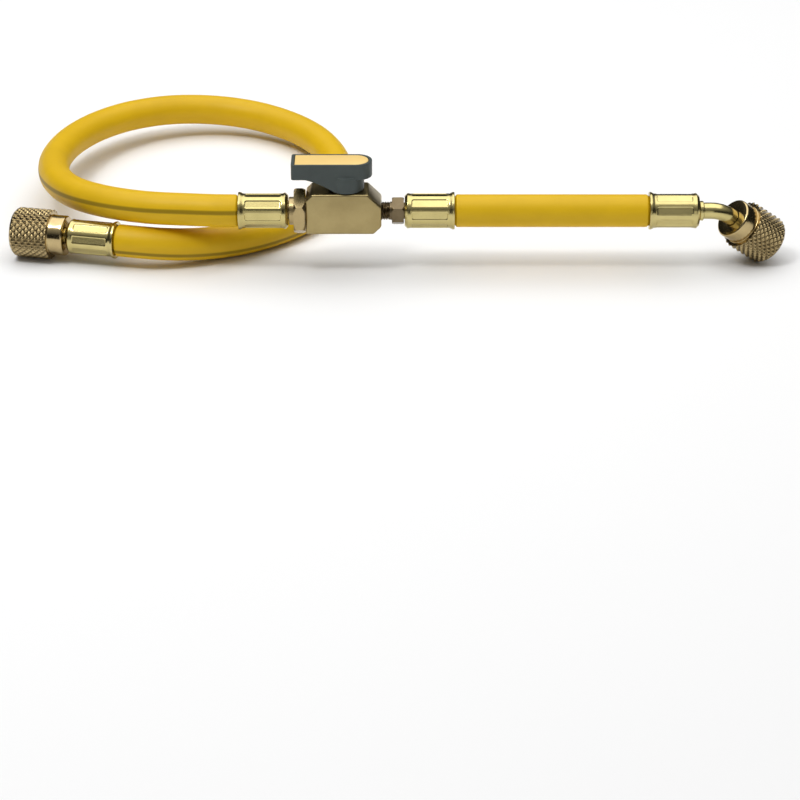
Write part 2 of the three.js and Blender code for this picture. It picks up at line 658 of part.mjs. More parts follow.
// A round bar along a bent line: each step is a ring of points square to the line.
function bentBar(points, radius, sides) {
  const side = new THREE.Vector3().crossVectors(new THREE.Vector3(1, 0, 0), ELBOW_SIDE);
  const vertices = [];
  points.forEach((point, i) => {
    const before = points[Math.max(i - 1, 0)];
    const after = points[Math.min(i + 1, points.length - 1)];
    const along = after.clone().sub(before).normalize();
    const up = new THREE.Vector3().crossVectors(side, along);
    for (let k = 0; k < sides; k += 1) {
      const turn = (k / sides) * 2 * Math.PI;
      const vertex = point.clone();
      vertex.addScaledVector(up, radius * Math.cos(turn));
      vertex.addScaledVector(side, radius * Math.sin(turn));
      vertices.push(vertex);
    }
  });
  vertices.push(points[0].clone(), points[points.length - 1].clone());
  const first = vertices.length - 2;
  const last = vertices.length - 1;
  const lastRing = (points.length - 1) * sides;
  const faces = [];
  for (let k = 0; k < sides; k += 1) {
    const next = (k + 1) % sides;
    faces.push(first, next, k, last, lastRing + k, lastRing + next);
    for (let ring = 0; ring < lastRing; ring += sides) {
      faces.push(ring + k, ring + next, ring + sides + k);
      faces.push(ring + next, ring + sides + next, ring + sides + k);
    }
  }
  const geometry = new THREE.BufferGeometry().setFromPoints(vertices);
  geometry.setIndex(faces);
  return geometry;
}

function angledPose(along) {
  const pose = new THREE.Matrix4().makeRotationFromQuaternion(
    new THREE.Quaternion().setFromUnitVectors(new THREE.Vector3(1, 0, 0), ELBOW_DIRECTION),
  );
  return pose.setPosition(angledNutRear.clone().addScaledVector(ELBOW_DIRECTION, along));
}

function bentTubeGeometry() {
  const flangeEnd = FLANGE_START + FLANGE_LENGTH;
  const shoulder = FERRULE_LENGTH - FERRULE_END_WALL - GAP;
  const bar = bentBar(elbowLine(shoulder, ELBOW_LAST_LEG + flangeEnd), NECK_RADIUS, SMALL_SIDES);
  const tail = rod(TAIL_SETBACK, shoulder + REACH, TAIL_RADIUS);
  const beadStart = FERRULE_LENGTH + GAP;
  const bead = rod(beadStart, beadStart + BEAD_LENGTH, BEAD_RADIUS);
  const flange = rod(FLANGE_START, flangeEnd, FLANGE_RADIUS, ROUND_SIDES);
  flange.applyMatrix4(angledPose(0));
  const flowLine = elbowLine(TAIL_SETBACK - REACH, ELBOW_LAST_LEG + flangeEnd + REACH);
  return shaped(bar, [tail, bead, flange], [bentBar(flowLine, FLOW_RADIUS, SMALL_SIDES)]);
}

addPiece(angledEnd, "bent_tube", bentTubeGeometry(), BRASS);
const angledNut = new THREE.Group();
angledNut.applyMatrix4(angledPose(0));
angledEnd.add(angledNut);
addPiece(angledNut, "angled_nut", nutGeometry(), TURNED_BRASS);
addPiece(angledNut, "angled_gasket", gasketGeometry(), BLACK_RUBBER);

// The origin is under the middle of the fittings, hoses apart.
const fittings = new THREE.Box3();
model.updateMatrixWorld(true);
model.traverse((piece) => {
  if (piece.isMesh && !piece.name.endsWith("_hose")) {
    fittings.expandByObject(piece, true);
  }
});
const middle = fittings.getCenter(new THREE.Vector3());
model.position.set(-middle.x, -middle.y, 0);

export default model;
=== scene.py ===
import math

import bmesh
import bpy
import numpy as np
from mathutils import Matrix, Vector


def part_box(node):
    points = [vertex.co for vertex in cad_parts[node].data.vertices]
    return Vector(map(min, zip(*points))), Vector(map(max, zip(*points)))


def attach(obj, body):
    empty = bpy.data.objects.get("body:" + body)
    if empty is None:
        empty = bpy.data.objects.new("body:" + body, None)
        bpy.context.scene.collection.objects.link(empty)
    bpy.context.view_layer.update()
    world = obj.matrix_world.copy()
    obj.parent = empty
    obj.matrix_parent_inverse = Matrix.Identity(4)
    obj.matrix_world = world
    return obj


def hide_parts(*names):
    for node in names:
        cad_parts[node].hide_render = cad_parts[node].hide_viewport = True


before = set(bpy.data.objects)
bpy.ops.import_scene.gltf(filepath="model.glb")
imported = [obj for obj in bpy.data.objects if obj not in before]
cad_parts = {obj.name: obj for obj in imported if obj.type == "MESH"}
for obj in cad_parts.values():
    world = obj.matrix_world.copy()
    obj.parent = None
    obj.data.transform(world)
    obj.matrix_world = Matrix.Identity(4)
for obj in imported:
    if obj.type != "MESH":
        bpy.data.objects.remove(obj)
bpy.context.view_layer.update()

# Camera
# The photograph looks down on the hose from in front of the valve, through a long lens.
# Places below are in millimetres from the point on the floor under the middle of the
# valve body, and to_row puts them into the part's own frame, in metres.
MM = 0.001
body_low, body_high = (np.array(corner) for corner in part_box("valve_body"))
UNDER_VALVE = np.array([(body_low[0] + body_high[0]) / 2, (body_low[1] + body_high[1]) / 2, 0])


def to_row(points):
    """Millimetres from under the valve, to metres in the part's frame."""
    return np.asarray(points, float) * MM + UNDER_VALVE


CAMERA_PLACE = (21.6, -887, 403)
CAMERA_DIP = math.radians(27.5)
LENS_MM = 112.5
camera = bpy.data.objects.new("camera", bpy.data.cameras.new("camera"))
camera.data.lens = LENS_MM
camera.data.clip_end = 20
camera.location = to_row(CAMERA_PLACE)
camera.rotation_euler = (math.pi / 2 - CAMERA_DIP, 0, 0)
bpy.context.collection.objects.link(camera)
bpy.context.scene.camera = camera

# Hoses
# Two lengths of yellow rubber hose, with a braid inside that doesn't show. The long one
# lies in a loop and crosses over its own start; each end is squeezed into a ferrule.
HOSE_RADIUS = 6.3
CRIMPED_RADIUS = 5.4
FERRULE_LENGTH = 19.2
INSIDE_FERRULE = 17.7
RIM_GAP = 0.3
SHOULDER = 0.8           # how far the rubber takes to swell out again past the rim
HOSE_COLUMNS = 64
HOSE_STEP = 0.8
AXIS_HEIGHT = (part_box("short_hose")[0][2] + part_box("short_hose")[1][2]) / 2 / MM
INLET_RIM = (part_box("ferrule_valve_inlet")[0][0] - UNDER_VALVE[0]) / MM
OUTLET_RIM = (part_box("ferrule_valve_outlet")[1][0] - UNDER_VALVE[0]) / MM
ANGLED_RIM = (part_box("ferrule_angled_end")[0][0] - UNDER_VALVE[0]) / MM
STRAIGHT_RIM = np.array([-88.2, 2.9, 9.75])
STRAIGHT_YAW = math.radians(12)
STRAIGHT_AXIS = np.array([-math.cos(STRAIGHT_YAW), math.sin(STRAIGHT_YAW), 0])

# The route of the long hose, in metres from under the valve.
LOOP_ROUTE = np.array([
    (-0.0804, 0.0012, 0.0097),
    (-0.0705, 0.0009, 0.0090),
    (-0.0605, 0.0029, 0.0080),
    (-0.0513, 0.0064, 0.0071),
    (-0.0428, 0.0106, 0.0065),
    (-0.0349, 0.0154, 0.00635),
    (-0.0212, 0.0277, 0.00635),
    (-0.0111, 0.0434, 0.00635),
    (-0.0054, 0.0611, 0.00635),
    (-0.0042, 0.0796, 0.0066),
    (-0.0075, 0.0980, 0.0072),
    (-0.0153, 0.1149, 0.0079),
    (-0.0276, 0.1289, 0.0086),
    (-0.0436, 0.1383, 0.0096),
    (-0.0619, 0.1413, 0.0108),
    (-0.0783, 0.1382, 0.0119),
    (-0.0943, 0.1288, 0.0129),
    (-0.1065, 0.1147, 0.0138),
    (-0.1146, 0.0979, 0.0148),
    (-0.1188, 0.0798, 0.0160),
    (-0.1194, 0.0612, 0.0173),
    (-0.1158, 0.0429, 0.0187),
    (-0.1072, 0.0264, 0.0201),
    (-0.0938, 0.0136, 0.0216),
    (-0.0770, 0.0055, 0.0225),
    (-0.0587, 0.0015, 0.0232),
    (-0.0485, 0.0001, 0.0234),
])


def smooth_line(knots, step):
    """A smooth curve through the knots, at even steps: cubic pieces whose slopes at the knots
    are those of the parabola through each knot and its two neighbours."""
    chord = np.linalg.norm(np.diff(knots, axis=0), axis=1)
    at = np.concatenate([[0], np.cumsum(chord)])
    slopes = np.gradient(knots, at, axis=0)
    fine = np.linspace(0, at[-1], int(at[-1] / (step / 4)))
    piece = np.clip(np.searchsorted(at, fine, side="right") - 1, 0, len(chord) - 1)
    width = chord[piece][:, None]
    t = ((fine - at[piece]) / chord[piece])[:, None]
    start = (1 + 2 * t) * (1 - t) ** 2 * knots[piece] + t * (1 - t) ** 2 * width * slopes[piece]
    end = t**2 * (3 - 2 * t) * knots[piece + 1] - t**2 * (1 - t) * width * slopes[piece + 1]
    line = start + end
    run = np.concatenate([[0], np.cumsum(np.linalg.norm(np.diff(line, axis=0), axis=1))])
    even = np.linspace(0, run[-1], int(run[-1] / step) + 1)
    return np.stack([np.interp(even, run, line[:, k]) for k in range(3)], axis=1)


def carried_frame(line):
    """Along, side and up vectors at each point of a line that runs nearly level, turned as
    little as possible from one point to the next. The upright frame turns about the line by
    its rise times its change of heading, so that sum is taken off again."""
    along = np.gradient(line, axis=0)
    along /= np.linalg.norm(along, axis=1, keepdims=True)
    upright = np.array([0, 0, 1]) - along[:, 2:] * along
    upright /= np.linalg.norm(upright, axis=1, keepdims=True)
    level = np.cross(along, upright)
    heading = np.unwrap(np.arctan2(along[:, 1], along[:, 0]))
    rise = (along[1:, 2] + along[:-1, 2]) / 2
    twist = np.concatenate([[0], np.cumsum(rise * np.diff(heading))])[:, None]
    up = np.cos(twist) * upright - np.sin(twist) * level
    return along, np.cross(along, up), up


def grid_piece(name, points, wrap, around_uv=None, sharp=math.radians(32)):
    """A closed mesh from rows of points that each go right round. With wrap the last row joins
    the first, as on a ring, and without it each end row gets a flat cap. around_uv holds each
    row's distance along the piece, for a UV map of turns by metres."""
    rows, columns = points.shape[:2]
    row = np.arange(rows if wrap else rows - 1)[:, None, None]
    column = np.arange(columns)[None, :, None]
    row_step = np.array([0, 0, 1, 1])
    column_step = np.array([0, 1, 1, 0])
    quads = ((row + row_step) % rows) * columns + (column + column_step) % columns
    faces = quads.reshape(-1, 4).tolist()
    if not wrap:
        faces += [list(range(columns)), list(range((rows - 1) * columns, rows * columns))]
    mesh = bpy.data.meshes.new(name)
    mesh.from_pydata(points.reshape(-1, 3).tolist(), [], faces)
    if around_uv is not None:
        turns = (column + column_step) / columns + 0 * row
        metres = around_uv[(row + row_step) % rows] + 0 * column
        pairs = np.stack([turns, metres], axis=-1).reshape(-1, 2)
        spare = np.zeros((len(mesh.loops) - len(pairs), 2))
        layer = mesh.uv_layers.new(name="along")
        layer.data.foreach_set("uv", np.concatenate([pairs, spare]).ravel())
    shell = bmesh.new()
    shell.from_mesh(mesh)
    bmesh.ops.recalc_face_normals(shell, faces=shell.faces)
    shell.to_mesh(mesh)
    shell.free()
    mesh.shade_smooth()
    mesh.set_sharp_from_angle(angle=sharp)
    piece = bpy.data.objects.new(name, mesh)
    bpy.context.collection.objects.link(piece)
    return piece


def hose_piece(name, line):
    """A hose along a line, in metres: a round tube that narrows where each end goes into its
    ferrule."""
    along, side, up = carried_frame(line)
    run = np.concatenate([[0], np.cumsum(np.linalg.norm(np.diff(line, axis=0), axis=1))])
    from_end = np.minimum(run, run[-1] - run) / MM
    outside = np.clip((from_end - INSIDE_FERRULE - RIM_GAP) / SHOULDER, 0, 1)
    radius = CRIMPED_RADIUS + (HOSE_RADIUS - CRIMPED_RADIUS) * np.sqrt(1 - (1 - outside) ** 2)
    turn = np.linspace(0, 2 * np.pi, HOSE_COLUMNS, endpoint=False)
    ring = np.cos(turn)[None, :, None] * up[:, None] + np.sin(turn)[None, :, None] * side[:, None]
    points = line[:, None] + MM * radius[:, None, None] * ring
    return grid_piece(name, points, wrap=False, around_uv=run), run[-1]


def node_group(name, inputs, outputs):
    """An empty shader node group with named float or colour sockets."""
    group = bpy.data.node_groups.new(name, "ShaderNodeTree")
    for socket, kind in inputs:
        group.interface.new_socket(socket, in_out="INPUT", socket_type=kind)
    for socket, kind in outputs:
        group.interface.new_socket(socket, in_out="OUTPUT", socket_type=kind)
    return group, group.nodes.new("NodeGroupInput"), group.nodes.new("NodeGroupOutput")


FLOAT = "NodeSocketFloat"
COLOUR = "NodeSocketColor"


def maths(tree, operation, first, second):
    """A Math node; each of its two sides is a number or a socket."""
    node = tree.nodes.new("ShaderNodeMath")
    node.operation = operation
    for place, value in enumerate((first, second)):
        if isinstance(value, (int, float)):
            node.inputs[place].default_value = value
        else:
            tree.links.new(value, node.inputs[place])
    return node.outputs[0]


def mixed(tree, share, first, second):
    """A colour between two, by a share from 0 to 1; each is a socket or a value."""
    node = tree.nodes.new("ShaderNodeMix")
    node.data_type = "RGBA"
    for place, value in ((0, share), (6, first), (7, second)):
        socket = node.inputs[place]
        if hasattr(value, "links"):
            tree.links.new(value, socket)
        else:
            socket.default_value = value
    return node.outputs[2]


def noise(tree, scale, detail=2.0, roughness=0.5):
    """Noise on the object's own coordinates; scale is a number or a socket."""
    coordinates = tree.nodes.new("ShaderNodeTexCoord")
    texture = tree.nodes.new("ShaderNodeTexNoise")
    texture.inputs["Detail"].default_value = detail
    texture.inputs["Roughness"].default_value = roughness
    tree.links.new(coordinates.outputs["Object"], texture.inputs["Vector"])
    if hasattr(scale, "links"):
        tree.links.new(scale, texture.inputs["Scale"])
    else:
        texture.inputs["Scale"].default_value = scale
    return texture.outputs[0]


def make_uneven():
    """Broad stains and fine grain: mixes a stain into a colour, spreads a roughness, and puts
    out the grain's height."""
    group, given, out = node_group(
        "uneven_finish",
        [
            ("Colour", COLOUR), ("Stain", COLOUR), ("Stain Share", FLOAT), ("Stain Scale", FLOAT),
            ("Roughness", FLOAT), ("Spread", FLOAT), ("Grain Scale", FLOAT),
        ],
        [("Colour", COLOUR), ("Roughness", FLOAT), ("Height", FLOAT)],
    )
    broad = noise(group, given.outputs["Stain Scale"], detail=4, roughness=0.6)
    band = group.nodes.new("ShaderNodeMapRange")
    band.inputs["From Min"].default_value = 0.35
    band.inputs["From Max"].default_value = 0.7
    group.links.new(broad, band.inputs["Value"])
    share = maths(group, "MULTIPLY", band.outputs[0], given.outputs["Stain Share"])
    colour = mixed(group, share, given.outputs["Colour"], given.outputs["Stain"])
    fine = noise(group, given.outputs["Grain Scale"], detail=3)
    shift = maths(group, "MULTIPLY", maths(group, "SUBTRACT", broad, 0.5), given.outputs["Spread"])
    group.links.new(colour, out.inputs["Colour"])
    group.links.new(maths(group, "ADD", given.outputs["Roughness"], shift), out.inputs["Roughness"])
    group.links.new(fine, out.inputs["Height"])
    return group


UNEVEN = make_uneven()


def finish(name, colour, stain, share, scale, roughness, spread, grain, bump_mm, **shader):
    """A material on the uneven finish: stain covers share of it in patches of scale, roughness
    varies by spread, and grain stands bump_mm high. shader holds constants for the shader's
    own sockets, by name with underlines for spaces."""
    material = bpy.data.materials.new(name)
    material.use_nodes = True
    tree = material.node_tree
    surface = tree.nodes["Principled BSDF"]
    for socket, value in shader.items():
        surface.inputs[socket.replace("_", " ")].default_value = value
    uneven = tree.nodes.new("ShaderNodeGroup")
    uneven.name = "uneven"
    uneven.node_tree = UNEVEN
    given = {
        "Colour": (*colour, 1), "Stain": (*stain, 1), "Stain Share": share, "Stain Scale": scale,
        "Roughness": roughness, "Spread": spread, "Grain Scale": grain,
    }
    for socket, value in given.items():
        uneven.inputs[socket].default_value = value
    bump = tree.nodes.new("ShaderNodeBump")
    bump.inputs["Distance"].default_value = bump_mm * MM
    tree.links.new(uneven.outputs["Height"], bump.inputs["Height"])
    tree.links.new(uneven.outputs["Colour"], surface.inputs["Base Color"])
    tree.links.new(uneven.outputs["Roughness"], surface.inputs["Roughness"])
    tree.links.new(bump.outputs["Normal"], surface.inputs["Normal"])
    return material


def opened(material):
    """The node tree of a finish, its shader and the colour that its stains give."""
    tree = material.node_tree
    return tree, tree.nodes["Principled BSDF"], tree.nodes["uneven"].outputs["Colour"]


def dress(piece, material, body):
    """Gives a piece its material and the body that it rides on."""
    piece.data.materials.clear()
    piece.data.materials.append(material)
    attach(piece, body)


# A darker olive band runs along the hose, about 1.6 mm wide, with soft edges: a painted dark
# reflection of the room and painted shade. It winds round the long hose a little, from its set turn
# off the top at the straight end.
DARK_REFLECTION_TURN = 0.316
DARK_REFLECTION_WINDING = -0.158    # turns for each metre
DARK_REFLECTION_HALF_WIDTH = 0.022
DARK_REFLECTION_STRENGTH = 0.8
RUBBER = (0.74, 0.46, 0.008)
RUBBER_STAIN = (0.62, 0.375, 0.006)
DARK_REFLECTION_COLOUR = (0.2, 0.13, 0.002)


def rubber_finish():
    """Yellow rubber with a soft sheen, and the painted dark reflection and shade band by the turn
    in its UV map.
    """
    material = finish(
        "yellow_hose_rubber", RUBBER, RUBBER_STAIN, share=0.5, scale=45, roughness=0.45,
        spread=0.12, grain=1800, bump_mm=0.03, Specular_IOR_Level=0.22,
    )
    tree, surface, stained = opened(material)
    place = tree.nodes.new("ShaderNodeUVMap")
    place.uv_map = "along"
    parts = tree.nodes.new("ShaderNodeSeparateXYZ")
    tree.links.new(place.outputs[0], parts.inputs[0])
    # The band of painted dark reflection and shade, placed by its turn round the hose.
    winding = maths(tree, "MULTIPLY", parts.outputs[1], DARK_REFLECTION_WINDING)
    middle = maths(tree, "ADD", winding, DARK_REFLECTION_TURN)
    off = maths(tree, "ABSOLUTE", maths(tree, "SUBTRACT", parts.outputs[0], middle), 0)
    edge = tree.nodes.new("ShaderNodeMapRange")
    edge.interpolation_type = "SMOOTHSTEP"
    edge.inputs["From Min"].default_value = DARK_REFLECTION_HALF_WIDTH * 1.4
    edge.inputs["From Max"].default_value = DARK_REFLECTION_HALF_WIDTH * 0.5
    tree.links.new(off, edge.inputs["Value"])
    share = maths(tree, "MULTIPLY", edge.outputs[0], DARK_REFLECTION_STRENGTH)
    colour = mixed(tree, share, stained, (*DARK_REFLECTION_COLOUR, 1))
    tree.links.new(colour, surface.inputs["Base Color"])
    return material


rubber = rubber_finish()
straight_tip = STRAIGHT_RIM + STRAIGHT_AXIS * INSIDE_FERRULE
inlet_tip = np.array([INLET_RIM + INSIDE_FERRULE, 0, AXIS_HEIGHT])
inlet_rim = np.array([INLET_RIM, 0, AXIS_HEIGHT])
loop_knots = np.concatenate([
    [straight_tip * MM, (straight_tip + STRAIGHT_RIM) / 2 * MM, STRAIGHT_RIM * MM],
    LOOP_ROUTE,
    [inlet_rim * MM, (inlet_rim + inlet_tip) / 2 * MM, inlet_tip * MM],
])
loop_line = smooth_line(loop_knots, HOSE_STEP * MM) + UNDER_VALVE
loop_hose, loop_length = hose_piece("hose_in_loop", loop_line)
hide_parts("loop_hose")
dress(loop_hose, rubber, "hose")

short_from = OUTLET_RIM - INSIDE_FERRULE
short_to = ANGLED_RIM + INSIDE_FERRULE
short_x = np.linspace(short_to, short_from, int(2 * (short_to - short_from) / HOSE_STEP))
short_line = to_row([(x, 0, AXIS_HEIGHT) for x in short_x])
short_hose, short_length = hose_piece("hose_past_valve", short_line)
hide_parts("short_hose")
dress(short_hose, rubber, "hose")

# Ferrules
# Four sleeves of bright brass, one over each hose end. A press squeezes each one in along
# eight flat panels, and leaves ridges between them and a flared rim towards the hose.
SLEEVE_RADIUS = 6.7
SLEEVE_BORE = 5.7
RIM_RADIUS = 7.25
NECK_HOLE = 3.475
END_WALL = 1.2
PANELS = 8
PANEL_FLAT = 6.27
PANEL_HALF = 1.72
PANEL_FROM = 2.6
PANEL_TO = 16.6
PANEL_CORNER = 0.9
PANEL_EDGE = 0.3
FERRULE_COLUMNS = 240


def outline(corners):
    """A closed outline from corners of (along, radius, fillet, step): each corner is rounded to
    its fillet, and the straight after it is cut into steps no longer than its step."""
    given = np.array([corner[:2] for corner in corners], float)
    points = []
    count = len(corners)
    for i, (_, _, fillet, _) in enumerate(corners):
        back = given[i - 1] - given[i]
        ahead = given[(i + 1) % count] - given[i]
        back /= np.linalg.norm(back)
        ahead /= np.linalg.norm(ahead)
        half_angle = math.acos(np.clip(back @ ahead, -1, 1)) / 2
        reach = fillet / math.tan(half_angle)
        inwards = (back + ahead) / np.linalg.norm(back + ahead)
        middle = given[i] + inwards * fillet / math.sin(half_angle)
        first = given[i] + back * reach - middle
        last = given[i] + ahead * reach - middle
        share = np.linspace(0, 1, 6)[:, None]
        arc = first * (1 - share) + last * share
        arc *= fillet / np.linalg.norm(arc, axis=1, keepdims=True)
        points.append(middle + arc)
    whole = []
    for i, (_, _, _, step) in enumerate(corners):
        start = points[i][-1]
        end = points[(i + 1) % count][0]
        parts = max(1, int(np.linalg.norm(end - start) / step))
        share = np.linspace(0, 1, parts + 1)[1:-1, None]
        whole += [points[i], start * (1 - share) + end * share]
    return np.concatenate(whole)


def turned(profile, columns, relief=None):
    """Points of a surface of revolution about the local +X axis, in millimetres: profile holds
    [along, radius] rows, and relief changes the radius by place along and angle from up."""
    angle = np.linspace(0, 2 * np.pi, columns, endpoint=False)[None, :]
    along = profile[:, :1] + 0 * angle
    radius = profile[:, 1:] + 0 * angle
    if relief is not None:
        radius = relief(along, angle + 0 * along, radius)
    return np.stack([along, radius * np.sin(angle), radius * np.cos(angle)], axis=-1)


def placed(points, origin, axis):
    """Local points in millimetres put at origin with local +X along axis, as metres in the
    part's frame. Local +Z stays as near to up as it can, and points forwards on an upright
    axis."""
    axis = np.asarray(axis, float) / np.linalg.norm(axis)
    side = np.array([-1.0, 0, 0]) if axis[2] == 1 else np.cross([0, 0, 1], axis)
    side /= np.linalg.norm(side)
    turn = np.stack([axis, side, np.cross(axis, side)])
    return to_row(points @ turn + np.asarray(origin, float))


def panelled(turn):
    """Relief that presses eight flat panels with round corners into the sleeve, one of them
    turned by turn from the top: inside each, the radius is that of a flat plane, and it steps
    up to the sleeve over PANEL_EDGE."""
    def relief(along, angle, radius):
        pitch = 2 * np.pi / PANELS
        off = ((angle - turn + pitch / 2) % pitch) - pitch / 2
        across = np.abs(off) * SLEEVE_RADIUS
        middle = (PANEL_FROM + PANEL_TO) / 2
        lengthways = np.abs(along - middle) - (PANEL_TO - PANEL_FROM) / 2 + PANEL_CORNER
        sideways = across - PANEL_HALF + PANEL_CORNER
        outside = np.hypot(np.maximum(lengthways, 0), np.maximum(sideways, 0)) - PANEL_CORNER
        inside = np.clip(-outside / PANEL_EDGE, 0, 1)
        press = inside**2 * (3 - 2 * inside)
        flat = PANEL_FLAT / np.cos(off)
        pressed = radius - press * np.maximum(radius - flat, 0)
        return np.where(radius > SLEEVE_RADIUS - 0.4, pressed, radius)
    return relief


def ferrule_profile(end_flare):
    """The sleeve's section; end_flare is how far it flares again at the fitting's end."""
    end_radius = SLEEVE_RADIUS + end_flare
    length = FERRULE_LENGTH
    return outline([
        (0, SLEEVE_BORE, 0.1, 2),
        (0, RIM_RADIUS, 0.3, 1),
        (0.9, RIM_RADIUS - 0.05, 0.3, 1),
        (2.0, SLEEVE_RADIUS - 0.05, 1.0, 0.2),
        (length - 2.2, SLEEVE_RADIUS - 0.05, 1.2, 0.3),
        (length - 1.1, end_radius, 0.4, 0.3),
        (length, end_radius - 1.0, 0.35, 0.5),
        (length, NECK_HOLE, 0.1, 1),
        (length - END_WALL, NECK_HOLE, 0.1, 1),
        (length - END_WALL, SLEEVE_BORE, 0.1, 2),
    ])


bright_brass = finish(
    "bright_brass", (0.6, 0.51, 0.22), (0.45, 0.37, 0.15), share=0.5, scale=120,
    roughness=0.2, spread=0.12, grain=2500, bump_mm=0.006, Metallic=1.0,
)
# Each ferrule's node, rim, axis, flare at the fitting's end and turn of its panels, in degrees.
FERRULES = [
    ("ferrule_straight_end", STRAIGHT_RIM, STRAIGHT_AXIS, 0.15, -13),
    ("ferrule_valve_inlet", (INLET_RIM, 0, AXIS_HEIGHT), (1, 0, 0), 0.35, 0),
    ("ferrule_valve_outlet", (OUTLET_RIM, 0, AXIS_HEIGHT), (-1, 0, 0), 0.15, -5),
    ("ferrule_angled_end", (ANGLED_RIM, 0, AXIS_HEIGHT), (1, 0, 0), 0.15, 22.5),
]
for node, rim, axis, end_flare, crimp_turn in FERRULES:
    crimp = panelled(math.radians(crimp_turn))
    shape = turned(ferrule_profile(end_flare), FERRULE_COLUMNS, crimp)
    sleeve = grid_piece("crimped_" + node, placed(shape, rim, axis), wrap=True)
    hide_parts(node)
    dress(sleeve, bright_brass, "hose")

# Swivel nuts
# Two turned brass nuts with a coarse diamond knurl, a plain collar behind it and a thread
# inside for a quarter-inch flare fitting. Each hooks over a flange and turns freely.
COLLAR_RADIUS = 7.8
COLLAR_LENGTH = 6
KNURL_RADIUS = 9.75
NUT_LENGTH = 21
NUT_BORE = 5.2
NUT_FLOOR = 3
NUT_SETBACK = 1.1
KNURL_COUNT = 24
KNURL_PITCH = 2.55
KNURL_DEPTH = 0.72
THREAD_PITCH = 1.27
THREAD_DEPTH = 0.4
KNURL_STEP = 0.17
NUT_COLUMNS = 336
# The knurl's grooves are darkened with painted shade and some dirt, by this colour and strength.
GROOVE_SHADE_AND_DIRT_COLOUR = (0.06, 0.04, 0.015)
GROOVE_SHADE_AND_DIRT_STRENGTH = 0.75


def ramp(phase):
    """A triangle wave from 0 to 1 and back, once for each whole phase."""
    return 1 - np.abs(2 * (phase % 1) - 1)


def knurl_height(along, angle):
    """Height of the knurl from 0 in its grooves to 1 on its points: the lower of two families
    of helical ridges, one of each hand."""
    turns = KNURL_COUNT * angle / (2 * np.pi)
    ridges = along / KNURL_PITCH
    return np.minimum(ramp(turns + ridges), ramp(turns - ridges))


def nut_relief(along, angle, radius):
    """Cuts the knurl into the wide part of the nut, never above its outline, and the thread
    into its bore."""
    pyramid = np.minimum(knurl_height(along, angle) * 1.12, 1)
    knurled = KNURL_RADIUS - KNURL_DEPTH * (1 - pyramid)
    outer = (radius > COLLAR_RADIUS + 0.3) & (along > COLLAR_LENGTH - 0.2)
    radius = np.where(outer, np.minimum(radius, knurled), radius)
    thread = THREAD_DEPTH * ramp(along / THREAD_PITCH + angle / (2 * np.pi))
    fade = np.clip((along - NUT_FLOOR - 3) / 1.5, 0, 1)
    bore = (radius < NUT_BORE + 0.3) & (radius > NUT_BORE - 0.1) & (along > NUT_FLOOR + 0.5)
    return np.where(bore, radius + thread * fade, radius)


nut_profile = outline([
    (0, NECK_HOLE, 0.1, 2),
    (0, COLLAR_RADIUS, 0.7, 1.5),
    (COLLAR_LENGTH, COLLAR_RADIUS, 0.25, 1),
    (COLLAR_LENGTH, KNURL_RADIUS, 0.45, KNURL_STEP),
    (NUT_LENGTH - 1.4, KNURL_RADIUS, 0.1, 0.2),
    (NUT_LENGTH, KNURL_RADIUS - 1.25, 0.15, 1),
    (NUT_LENGTH, NUT_BORE + 0.55, 0.1, 0.4),
    (NUT_LENGTH - 0.55, NUT_BORE, 0.05, 0.16),
    (NUT_FLOOR, NUT_BORE, 0.1, 1),
    (NUT_FLOOR, NECK_HOLE, 0.1, 1),
])


def knurled_brass():
    """Turned brass for the nuts, darker down in the knurl's grooves by an attribute on the nut:
    painted shade, with some dirt.
    """
    material = finish(
        "knurled_brass", (0.52, 0.4, 0.2), (0.38, 0.285, 0.135), share=0.6, scale=150,
        roughness=0.17, spread=0.12, grain=2200, bump_mm=0.008, Metallic=1.0,
    )
    tree, surface, stained = opened(material)
    groove_shade_and_dirt = tree.nodes.new("ShaderNodeAttribute")
    groove_shade_and_dirt.attribute_name = "groove_shade_and_dirt"
    share = maths(tree, "MULTIPLY", groove_shade_and_dirt.outputs["Fac"], GROOVE_SHADE_AND_DIRT_STRENGTH)
    colour = mixed(tree, share, stained, (*GROOVE_SHADE_AND_DIRT_COLOUR, 1))
    tree.links.new(colour, surface.inputs["Base Color"])
    return material


def swivel_nut(name, node, rear, axis, material):
    """A knurled nut with its rear face at rear and its mouth along axis."""
    shape = turned(nut_profile, NUT_COLUMNS, nut_relief)
    outer = np.hypot(shape[..., 1], shape[..., 2])
    wide = (outer > COLLAR_RADIUS + 0.3) & (shape[..., 0] > COLLAR_LENGTH - 0.2)
    angle = np.linspace(0, 2 * np.pi, NUT_COLUMNS, endpoint=False)[None, :]
    # How deep each point lies in the knurl: it sets the painted shade and dirt in the grooves.
    depth = np.where(wide, 1 - knurl_height(shape[..., 0], angle), 0) ** 2
    nut = grid_piece(name, placed(shape, rear, axis), wrap=True, sharp=math.radians(60))
    layer = nut.data.attributes.new("groove_shade_and_dirt", "FLOAT", "POINT")
    layer.data.foreach_set("value", depth.ravel())
    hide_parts(node)
    dress(nut, material, node)


